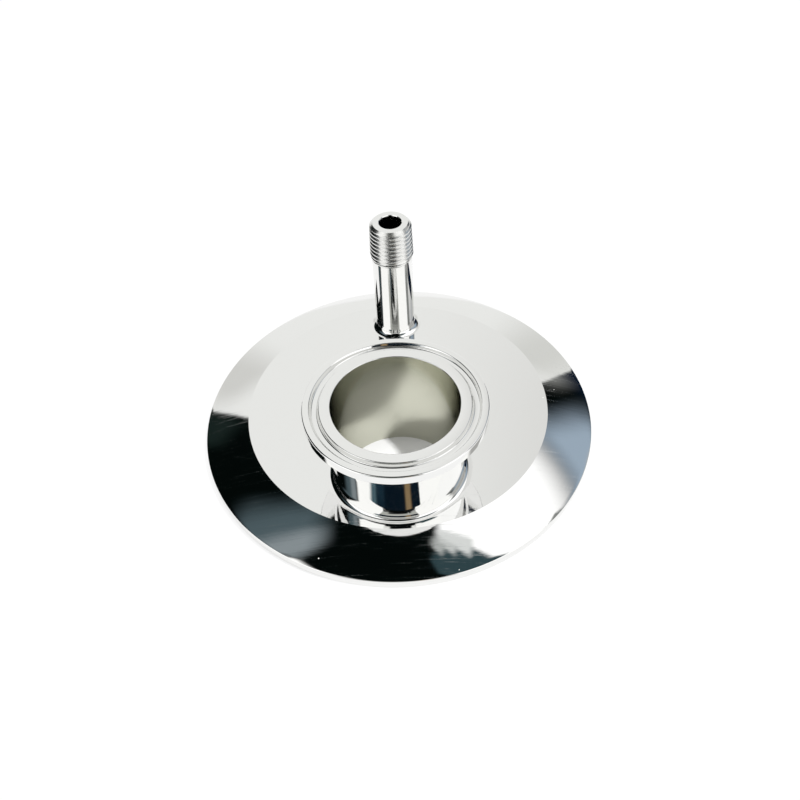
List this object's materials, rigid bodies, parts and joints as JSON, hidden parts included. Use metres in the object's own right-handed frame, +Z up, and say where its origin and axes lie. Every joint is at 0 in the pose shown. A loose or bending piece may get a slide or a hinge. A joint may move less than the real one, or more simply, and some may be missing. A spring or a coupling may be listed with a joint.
{
  "type": "sanitary clamp end cap",
  "caption": "Polished steel clamp end cap with a clamp ferrule port and a threaded nipple welded through its flat top.",
  "frame": {"origin": "centre of the sealing face, on the surface that the cap rests on", "axes": "+Z up through the flat top, +Y from the ferrule towards the threaded nipple"},
  "size_m": [0.119, 0.119, 0.0488],
  "materials": {
    "polished_steel": "mirror polished, satin inside the ferrule bore"
  },
  "bodies": {
    "root": {"end_cap_plate": "polished_steel", "ferrule": "polished_steel", "threaded_nipple": "polished_steel", "ferrule_weld_bead": "polished_steel", "nipple_weld_bead": "polished_steel"}
  },
  "joints": []
}
